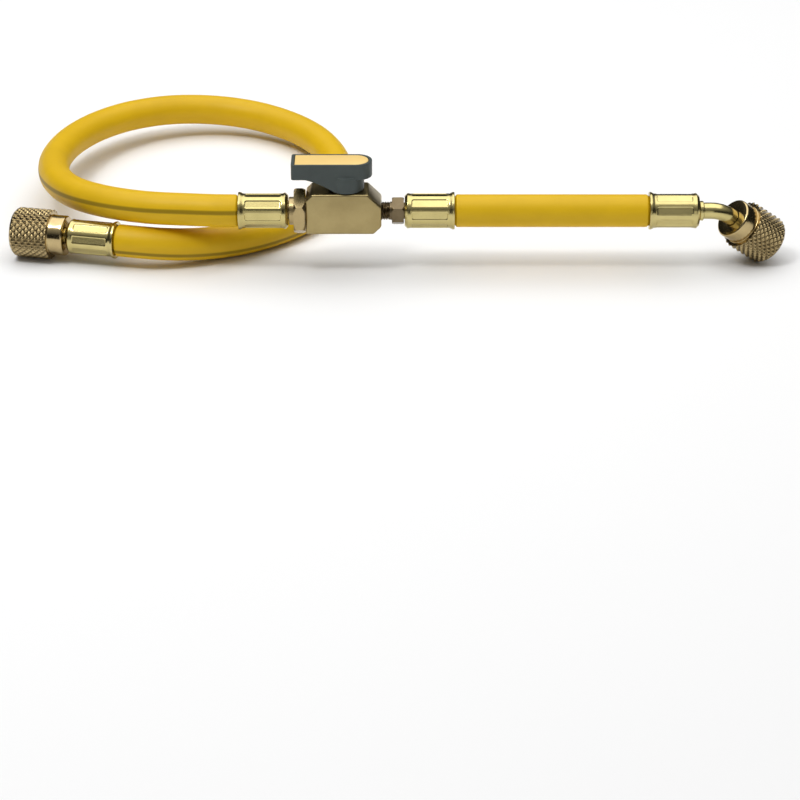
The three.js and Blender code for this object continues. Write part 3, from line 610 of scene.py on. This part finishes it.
ELBOW_ANGLE = math.radians(42)
ELBOW_ROLL = math.radians(26.6)
ELBOW_RADIUS = 11
ELBOW_FIRST_LEG = 4.5
ELBOW_LAST_LEG = 2.1
ELBOW_SIDE = np.array([0, math.sin(ELBOW_ROLL), -math.cos(ELBOW_ROLL)])
ELBOW_AXIS = np.array([math.cos(ELBOW_ANGLE), 0, 0]) + math.sin(ELBOW_ANGLE) * ELBOW_SIDE
bend_start = np.array([ANGLED_RIM + FERRULE_LENGTH + ELBOW_FIRST_LEG, 0, AXIS_HEIGHT])
bend_end = bend_start + ELBOW_RADIUS * (
    np.array([math.sin(ELBOW_ANGLE), 0, 0]) + (1 - math.cos(ELBOW_ANGLE)) * ELBOW_SIDE
)
angled_rear = bend_end + ELBOW_LAST_LEG * ELBOW_AXIS
straight_rear = STRAIGHT_RIM + STRAIGHT_AXIS * (FERRULE_LENGTH + NUT_SETBACK)
nut_brass = knurled_brass()
swivel_nut("knurled_straight_nut", "straight_nut", straight_rear, STRAIGHT_AXIS, nut_brass)
swivel_nut("knurled_angled_nut", "angled_nut", angled_rear, ELBOW_AXIS, nut_brass)

# Straight nipple
# A brass tail pushed into the hose, a neck through the ferrule's end, and a flange that the
# swivel nut hooks over.
TAIL_RADIUS = 2.9
TAIL_FROM = 3
NECK_RADIUS = 3.175
FLOW_RADIUS = 1.7
FLANGE_RADIUS = 4.8
FLANGE_FROM = NUT_FLOOR + RIM_GAP
FLANGE_TO = FLANGE_FROM + 3
TUBE_COLUMNS = 72


def nipple_profile():
    """Section of the straight nipple from its tail to its flange."""
    to_nut = FERRULE_LENGTH + NUT_SETBACK
    inside = FERRULE_LENGTH - END_WALL - RIM_GAP
    return outline([
        (TAIL_FROM, FLOW_RADIUS, 0.1, 2),
        (TAIL_FROM, TAIL_RADIUS, 0.1, 2),
        (inside, TAIL_RADIUS, 0.05, 1),
        (inside, NECK_RADIUS, 0.05, 2),
        (to_nut + FLANGE_FROM, NECK_RADIUS, 0.1, 1),
        (to_nut + FLANGE_FROM, FLANGE_RADIUS, 0.2, 1),
        (to_nut + FLANGE_TO, FLANGE_RADIUS, 0.3, 1),
        (to_nut + FLANGE_TO, FLOW_RADIUS, 0.1, 4),
    ])


nipple_shape = turned(nipple_profile(), TUBE_COLUMNS)
nipple_points = placed(nipple_shape, STRAIGHT_RIM, STRAIGHT_AXIS)
straight_nipple = grid_piece("turned_nipple", nipple_points, wrap=True)
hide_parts("straight_nipple")
dress(straight_nipple, bright_brass, "hose")

# Bent tube
# Quarter-inch brass tube bent by 42 degrees, with a bead against the ferrule and a flange
# in the angled nut.
BEAD_RADIUS = 3.8
BEAD_LENGTH = 1.5


def bent_points(profile, columns):
    """A turned section carried along the bent line: its along is the distance from the
    ferrule's rim, straight, then round the bend, then straight again."""
    legs = FERRULE_LENGTH + ELBOW_FIRST_LEG
    along = profile[:, 0]
    turn = np.clip((along - legs) / ELBOW_RADIUS, 0, ELBOW_ANGLE)
    straight = np.minimum(along, legs)
    beyond = np.maximum(along - legs - ELBOW_RADIUS * ELBOW_ANGLE, 0)
    ahead = np.array([1, 0, 0])
    heading = np.cos(turn)[:, None] * ahead + np.sin(turn)[:, None] * ELBOW_SIDE
    line = np.array([ANGLED_RIM, 0, AXIS_HEIGHT]) + straight[:, None] * ahead
    line = line + ELBOW_RADIUS * np.sin(turn)[:, None] * ahead
    line = line + ELBOW_RADIUS * (1 - np.cos(turn))[:, None] * ELBOW_SIDE
    line = line + beyond[:, None] * heading
    level = np.cross(ahead, ELBOW_SIDE)
    upright = np.cross(level, heading)
    angle = np.linspace(0, 2 * np.pi, columns, endpoint=False)[None, :, None]
    ring = np.cos(angle) * upright[:, None] + np.sin(angle) * level
    return to_row(line[:, None] + profile[:, 1][:, None, None] * ring)


def bent_profile():
    """Section of the bent tube, as if it were straight."""
    inside = FERRULE_LENGTH - END_WALL - RIM_GAP
    bead = FERRULE_LENGTH + RIM_GAP
    rear = FERRULE_LENGTH + ELBOW_FIRST_LEG + ELBOW_RADIUS * ELBOW_ANGLE + ELBOW_LAST_LEG
    return outline([
        (TAIL_FROM, FLOW_RADIUS, 0.1, 2),
        (TAIL_FROM, TAIL_RADIUS, 0.1, 2),
        (inside, TAIL_RADIUS, 0.05, 1),
        (inside, NECK_RADIUS, 0.05, 2),
        (bead, NECK_RADIUS, 0.05, 1),
        (bead, BEAD_RADIUS, 0.3, 1),
        (bead + BEAD_LENGTH, BEAD_RADIUS, 0.3, 1),
        (bead + BEAD_LENGTH, NECK_RADIUS, 0.25, 0.5),
        (rear + FLANGE_FROM, NECK_RADIUS, 0.1, 1),
        (rear + FLANGE_FROM, FLANGE_RADIUS, 0.2, 1),
        (rear + FLANGE_TO, FLANGE_RADIUS, 0.3, 1),
        (rear + FLANGE_TO, FLOW_RADIUS, 0.1, 0.5),
    ])


bent_shape = bent_points(bent_profile(), TUBE_COLUMNS)
bent_tube = grid_piece("polished_bent_tube", bent_shape, wrap=True)
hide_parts("bent_tube")
dress(bent_tube, bright_brass, "hose")

# Valve adapter and outlet nipple
# Both are turned from hex bar. The adapter screws into the valve's inlet as far as its hex;
# the smaller nipple shows some of its thread before the hex.
BODY_HALF = (body_high[0] - body_low[0]) / 2 / MM
HEX_ACROSS = 16.2
HEX_LENGTH = 4.3
ADAPTER_NECK = 5.35
SPIGOT_RADIUS = 5
SPIGOT_TO = -4.9
NIPPLE_HEX_ACROSS = 9.7
NIPPLE_HEX_LENGTH = 4.6
THREAD_SHOWN = 4
OUTLET_THREAD = 3.55
OUTLET_PITCH = 0.94
OUTLET_DEPTH = 0.42
OUTLET_FROM = 7.2
HEX_COLUMNS = 144


def hexed(across, start, end, chamfer=0.55):
    """Relief that turns a round stretch into a hex with a corner up, its corners turned away
    to a cone at both faces."""
    def relief(along, angle, radius):
        sixth = np.pi / 3
        flat = across / 2 / np.cos((angle % sixth) - sixth / 2)
        from_face = np.minimum(along - start, end - along)
        cone = across / 2 + 0.25 + from_face / math.tan(math.radians(30)) * chamfer
        on_hex = radius > across / 2
        return np.where(on_hex, np.minimum(np.minimum(flat, cone), radius), radius)
    return relief


hex_to = -BODY_HALF - RIM_GAP
hex_from = hex_to - HEX_LENGTH
neck_from = INLET_RIM + FERRULE_LENGTH + RIM_GAP
corner_radius = HEX_ACROSS / math.sqrt(3) + 0.2
adapter_profile = outline([
    (INLET_RIM + TAIL_FROM, FLOW_RADIUS, 0.1, 4),
    (INLET_RIM + TAIL_FROM, TAIL_RADIUS, 0.1, 4),
    (neck_from - END_WALL - 2 * RIM_GAP, TAIL_RADIUS, 0.05, 1),
    (neck_from - END_WALL - 2 * RIM_GAP, NECK_RADIUS, 0.05, 1),
    (neck_from, NECK_RADIUS, 0.05, 1),
    (neck_from, ADAPTER_NECK, 0.3, 1),
    (hex_from, ADAPTER_NECK, 0.15, 0.4),
    (hex_from, corner_radius, 0.02, 0.08),
    (hex_to, corner_radius, 0.02, 0.4),
    (hex_to, SPIGOT_RADIUS, 0.1, 2),
    (SPIGOT_TO, SPIGOT_RADIUS, 0.1, 2),
    (SPIGOT_TO, FLOW_RADIUS, 0.1, 4),
])
adapter_shape = turned(adapter_profile, HEX_COLUMNS, hexed(HEX_ACROSS, hex_from, hex_to))
adapter_points = placed(adapter_shape, (0, 0, AXIS_HEIGHT), (1, 0, 0))
adapter = grid_piece("hex_adapter", adapter_points, wrap=True, sharp=math.radians(25))
hex_brass = finish(
    "dull_hex_brass", (0.44, 0.34, 0.17), (0.32, 0.24, 0.115), share=0.6, scale=150,
    roughness=0.27, spread=0.12, grain=2200, bump_mm=0.01, Metallic=1.0,
)
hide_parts("valve_adapter")
dress(adapter, hex_brass, "hose")

small_from = BODY_HALF + THREAD_SHOWN
small_to = small_from + NIPPLE_HEX_LENGTH
small_corner = NIPPLE_HEX_ACROSS / math.sqrt(3) + 0.2
outlet_end = OUTLET_RIM - TAIL_FROM
outlet_profile = outline([
    (OUTLET_FROM, FLOW_RADIUS, 0.1, 4),
    (OUTLET_FROM, OUTLET_THREAD, 0.1, 0.12),
    (small_from, OUTLET_THREAD, 0.05, 1),
    (small_from, small_corner, 0.02, 0.08),
    (small_to, small_corner, 0.02, 0.4),
    (small_to, NECK_RADIUS, 0.05, 1),
    (small_to + RIM_GAP + END_WALL + RIM_GAP, NECK_RADIUS, 0.05, 1),
    (small_to + RIM_GAP + END_WALL + RIM_GAP, TAIL_RADIUS, 0.05, 1),
    (outlet_end, TAIL_RADIUS, 0.1, 4),
    (outlet_end, FLOW_RADIUS, 0.1, 4),
])
small_hex = hexed(NIPPLE_HEX_ACROSS, small_from, small_to, chamfer=0.4)


def outlet_relief(along, angle, radius):
    """The small hex, and the helical thread between it and the valve body."""
    radius = small_hex(along, angle, radius)
    thread = OUTLET_DEPTH * ramp(along / OUTLET_PITCH - angle / (2 * np.pi))
    fade = np.clip((small_from - 0.5 - along) / 0.4, 0, 1)
    threaded = (radius > OUTLET_THREAD - 0.05) & (along < small_from - 0.1)
    return np.where(threaded, radius - thread * fade, radius)


outlet_shape = turned(outlet_profile, HEX_COLUMNS, outlet_relief)
outlet_points = placed(outlet_shape, (0, 0, AXIS_HEIGHT), (1, 0, 0))
outlet_nipple = grid_piece("threaded_hex_nipple", outlet_points, wrap=True, sharp=math.radians(40))
# The nipple's brass colour is darkened as a painted dark reflection of the room.
nipple_brass = finish(
    "nipple_brass_painted_dark", (0.17, 0.13, 0.075), (0.11, 0.08, 0.045), share=0.6, scale=200,
    roughness=0.3, spread=0.12, grain=2400, bump_mm=0.01, Metallic=1.0,
)
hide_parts("threaded_nipple")
dress(outlet_nipple, nipple_brass, "hose")

# Valve body
# A block of square brass bar, satin all over, its corners cut off at the outlet and its
# edges tumbled round. It is bored through for the ball and from the top for the stem.
BODY_LOW = (body_low - UNDER_VALVE) / MM
BODY_HIGH = (body_high - UNDER_VALVE) / MM
TOP_CHAMFER = 5.2
BOTTOM_CHAMFER = 3
INLET_CHAMFER = 2.4
EDGE_ROUND = 0.75
MAIN_BORE = 5.3
STEM_X = 1
SHOULDER_X = 6.9
STEM_HOLE = 2.3


def prism(name, section, low, high):
    """A prism of a section of (x, z) points, in millimetres, between two places across."""
    count = len(section)
    front = [(x, low, z) for x, z in section]
    back = [(x, high, z) for x, z in section]
    sides = [(i, (i + 1) % count, count + (i + 1) % count, count + i) for i in range(count)]
    mesh = bpy.data.meshes.new(name)
    faces = [tuple(range(count)), tuple(range(2 * count - 1, count - 1, -1)), *sides]
    mesh.from_pydata(to_row(front + back).tolist(), [], faces)
    shell = bmesh.new()
    shell.from_mesh(mesh)
    bmesh.ops.recalc_face_normals(shell, faces=shell.faces)
    shell.to_mesh(mesh)
    shell.free()
    piece = bpy.data.objects.new(name, mesh)
    bpy.context.collection.objects.link(piece)
    return piece


def cut_or_join(piece, other, operation):
    """A boolean of a piece with another object, which is used up by settle."""
    step = piece.modifiers.new(operation.lower(), "BOOLEAN")
    step.operation = operation
    step.object = other
    step.solver = "EXACT"


def settle(piece, used=()):
    """Turns a piece's modifiers into its mesh, and removes the objects that they used."""
    bpy.context.view_layer.update()
    seen = piece.evaluated_get(bpy.context.evaluated_depsgraph_get())
    mesh = bpy.data.meshes.new_from_object(seen)
    piece.modifiers.clear()
    piece.data = mesh
    for other in used:
        bpy.data.objects.remove(other)


def rod(name, start, axis, length, radius, columns=48):
    """A plain round cutter from start along axis."""
    profile = np.array([[0, radius], [length, radius]], float)
    return grid_piece(name, placed(turned(profile, columns), start, axis), wrap=False)


left, right = BODY_LOW[0], BODY_HIGH[0]
bottom, top = BODY_LOW[2], BODY_HIGH[2]
valve_body = prism(
    "satin_valve_body",
    [
        (left, bottom),
        (right - BOTTOM_CHAMFER, bottom),
        (right, bottom + BOTTOM_CHAMFER),
        (right, top - TOP_CHAMFER),
        (right - TOP_CHAMFER, top),
        (left + INLET_CHAMFER, top),
        (left, top - INLET_CHAMFER),
    ],
    BODY_LOW[1],
    BODY_HIGH[1],
)
rounding = valve_body.modifiers.new("edges", "BEVEL")
rounding.width = EDGE_ROUND * MM
rounding.segments = 4
rounding.limit_method = "ANGLE"
rounding.angle_limit = math.radians(25)
bores = [
    rod("main_bore", (left - 1, 0, AXIS_HEIGHT), (1, 0, 0), SHOULDER_X - left + 1, MAIN_BORE),
    rod("outlet_bore", (0, 0, AXIS_HEIGHT), (1, 0, 0), right + 1, OUTLET_THREAD + RIM_GAP),
    rod("stem_bore", (STEM_X, 0, AXIS_HEIGHT), (0, 0, 1), 20, STEM_HOLE),
]
for bore in bores:
    cut_or_join(valve_body, bore, "DIFFERENCE")
settle(valve_body, bores)
valve_body.data.shade_smooth()
valve_body.data.set_sharp_from_angle(angle=math.radians(24))
satin_brass = finish(
    "satin_brass", (0.4, 0.315, 0.145), (0.3, 0.23, 0.1), share=0.7, scale=90,
    roughness=0.3, spread=0.1, grain=3000, bump_mm=0.02, Metallic=1.0,
)
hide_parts("valve_body")
dress(valve_body, satin_brass, "hose")

# Lever and its cap
# The lever is moulded in dark grey-green plastic: a flat arm with one square and one round
# end, a round hub over the stem, and a web between them. A pale yellow cap is let into it.
LEVER_WIDTH = 11.7
LEVER_ARM = 20.9
LEVER_NOSE = 10
LEVER_PLATE = 6.2
LEVER_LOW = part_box("lever")[0][2] / MM
LEVER_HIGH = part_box("lever")[1][2] / MM
HUB_RADIUS = 6.9
WEB_START = 15.5
WEB_BEND = 10.5
WEB_BEND_SHARE = 0.23
WEB_END = 4.2
WEB_FOOT = 0.2
CORNER = 1.1
CAP_SIDE_RIM = 0.9
CAP_END_RIM = 1.3
CAP_DEPTH = 1.6
CAP_CORNER = 0.3
CAP_CLEARANCE = 0.15
MOULD_GRAIN = 0.19       # the mesh size of the moulding, before its edges are softened


def lever_outline(side_rim, end_rim, corner, arc_points=28):
    """The lever seen from above, as (x, y): square at the arm's end, with small corners, and a
    half circle at the nose."""
    half = LEVER_WIDTH / 2 - side_rim
    far = -LEVER_ARM + end_rim
    centre = LEVER_NOSE - end_rim - half
    angle = np.linspace(-np.pi / 2, np.pi / 2, arc_points)
    nose = np.stack([centre + half * np.cos(angle), half * np.sin(angle)], axis=1)
    turn = np.linspace(0, np.pi / 2, 7)
    back = np.stack([-np.sin(turn), np.cos(turn)], axis=1) * corner
    front = np.stack([-np.cos(turn), -np.sin(turn)], axis=1) * corner
    corners = [back + (far + corner, half - corner), front + (far + corner, corner - half)]
    return np.concatenate([nose, *corners])


def slab(name, flat, low, high):
    """A slab with the outline flat, in (x, y) from the stem, between two heights."""
    rows = [np.column_stack([flat + (STEM_X, 0), np.full(len(flat), z)]) for z in (low, high)]
    return grid_piece(name, to_row(np.stack(rows)), wrap=False)


underside = LEVER_HIGH - LEVER_PLATE
lever = slab("moulded_lever", lever_outline(0, 0, CORNER), underside, LEVER_HIGH)
hub_height = underside - LEVER_LOW + 1
hub = rod("hub", (STEM_X, 0, LEVER_LOW), (0, 0, 1), hub_height, HUB_RADIUS, 96)
web_foot = LEVER_LOW + WEB_FOOT
web_share = np.linspace(0, 1, 17)[:, None]
web_edge = (
    (1 - web_share) ** 2 * (-WEB_START, underside)
    + 2 * web_share * (1 - web_share)
    * (-WEB_BEND, underside + (web_foot - underside) * WEB_BEND_SHARE)
    + web_share**2 * (-WEB_END, web_foot)
)
web_section = np.concatenate([
    [(-WEB_START, underside + 1)], web_edge, [(0, web_foot), (0, underside + 1)],
])
web = prism("web", (web_section + (STEM_X, 0)).tolist(), -LEVER_WIDTH / 2, LEVER_WIDTH / 2)
recess_outline = lever_outline(CAP_SIDE_RIM, CAP_END_RIM, CAP_CORNER)
recess = slab("recess", recess_outline, LEVER_HIGH - CAP_DEPTH, LEVER_HIGH + 1)
cut_or_join(lever, hub, "UNION")
cut_or_join(lever, web, "UNION")
cut_or_join(lever, recess, "DIFFERENCE")
voxels = lever.modifiers.new("voxels", "REMESH")
voxels.mode = "VOXEL"
voxels.voxel_size = MOULD_GRAIN * MM
softened = lever.modifiers.new("softened", "SMOOTH")
softened.factor = 0.5
softened.iterations = 5
settle(lever, [hub, web, recess])
lever.data.shade_smooth()
dark_plastic = finish(
    "dark_lever_plastic", (0.05, 0.067, 0.063), (0.036, 0.047, 0.044), share=0.5, scale=160,
    roughness=0.45, spread=0.12, grain=5200, bump_mm=0.02, Specular_IOR_Level=0.45,
)
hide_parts("lever")
dress(lever, dark_plastic, "lever")

cap_outline = lever_outline(
    CAP_SIDE_RIM + CAP_CLEARANCE, CAP_END_RIM + CAP_CLEARANCE, CAP_CORNER
)
cap = slab("pale_cap", cap_outline, LEVER_HIGH - CAP_DEPTH + 0.1, LEVER_HIGH)
cap_edges = cap.modifiers.new("edges", "BEVEL")
cap_edges.width = 0.25 * MM
cap_edges.segments = 3
cap_edges.limit_method = "ANGLE"
cap_edges.angle_limit = math.radians(40)
settle(cap)
cap.data.shade_smooth()
cap.data.set_sharp_from_angle(angle=math.radians(50))
pale_plastic = finish(
    "pale_cap_plastic", (0.93, 0.66, 0.24), (0.86, 0.58, 0.2), share=0.4, scale=140,
    roughness=0.36, spread=0.1, grain=4200, bump_mm=0.01, Specular_IOR_Level=0.5,
)
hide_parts("lever_cap")
dress(cap, pale_plastic, "lever")

# Inner pieces
# What shows only down the nuts' mouths or not at all: the soft rings in the nuts, and the
# ball, its seats and its stem in the valve.
black_rubber = finish(
    "black_ring_rubber", (0.02, 0.02, 0.02), (0.035, 0.035, 0.033), share=0.6, scale=300,
    roughness=0.55, spread=0.15, grain=3000, bump_mm=0.02,
)
white_seat = finish(
    "white_seat_plastic", (0.86, 0.86, 0.83), (0.78, 0.78, 0.74), share=0.5, scale=200,
    roughness=0.35, spread=0.1, grain=3000, bump_mm=0.01,
)
INNER = {
    "straight_gasket": black_rubber,
    "angled_gasket": black_rubber,
    "seat_inlet": white_seat,
    "seat_outlet": white_seat,
    "valve_ball": bright_brass,
    "valve_stem": bright_brass,
}
for node, material in INNER.items():
    inner = bpy.data.objects[node]
    inner.data.materials.clear()
    inner.data.materials.append(material)

# Floor and light
# A pale floor that runs out of the picture, a large soft light above, a small one to its
# left and a weak one in front. The brass mirrors a room that is dark at eye level, so that
# it shows bright and dark bands, while the camera sees a plain grey backdrop.
FLOOR_HALF = 6.0
floor_mesh = bpy.data.meshes.new("floor")
floor_corners = FLOOR_HALF * np.array([(-1, -1, 0), (1, -1, 0), (1, 1, 0), (-1, 1, 0)])
floor_mesh.from_pydata(floor_corners.tolist(), [], [(0, 1, 2, 3)])
floor = bpy.data.objects.new("floor", floor_mesh)
bpy.context.collection.objects.link(floor)
floor_paint = bpy.data.materials.new("floor_paint")
floor_paint.use_nodes = True
floor_shader = floor_paint.node_tree.nodes["Principled BSDF"]
floor_shader.inputs["Base Color"].default_value = (0.9, 0.9, 0.9, 1)
floor_shader.inputs["Roughness"].default_value = 0.7
floor_shader.inputs["Specular IOR Level"].default_value = 0.2
floor_mesh.materials.append(floor_paint)


def soft_light(name, place, aim, size, energy):
    """A square area light at a place, turned towards another, both in metres."""
    data = bpy.data.lights.new(name, "AREA")
    data.size = size
    data.energy = energy
    light = bpy.data.objects.new(name, data)
    away = np.array(place, float) - np.array(aim, float)
    flat = math.hypot(away[0], away[1])
    light.location = place
    light.rotation_euler = (math.atan2(flat, away[2]), 0, math.atan2(away[0], -away[1]))
    light.visible_camera = False
    bpy.context.collection.objects.link(light)


soft_light("top_light", (0.0, 0.45, 1.2), (0, 0.45, 0), 1.9, 18)
soft_light("key_light", (-0.45, -0.35, 1.15), (0, 0, 0), 0.3, 4)
soft_light("front_fill", (0.0, -1.6, 0.2), (0, 0, 0.02), 0.9, 1.6)

world = bpy.data.worlds.new("room")
bpy.context.scene.world = world
world.use_nodes = True
room = world.node_tree
direction = room.nodes.new("ShaderNodeTexCoord")
upward = room.nodes.new("ShaderNodeSeparateXYZ")
room.links.new(direction.outputs["Generated"], upward.inputs[0])
shade = room.nodes.new("ShaderNodeValToRGB")
room.links.new(upward.outputs["Z"], shade.inputs["Fac"])
shade.color_ramp.elements[0].position = 0.35
shade.color_ramp.elements[0].color = (0.02, 0.02, 0.02, 1)
shade.color_ramp.elements[1].position = 0.9
shade.color_ramp.elements[1].color = (0.5, 0.5, 0.5, 1)
seen_by = room.nodes.new("ShaderNodeLightPath")
backdrop = mixed(room, seen_by.outputs["Is Camera Ray"], shade.outputs["Color"], (0.6, 0.6, 0.6, 1))
room.links.new(backdrop, room.nodes["Background"].inputs["Color"])
bpy.context.scene.view_settings.view_transform = "Standard"
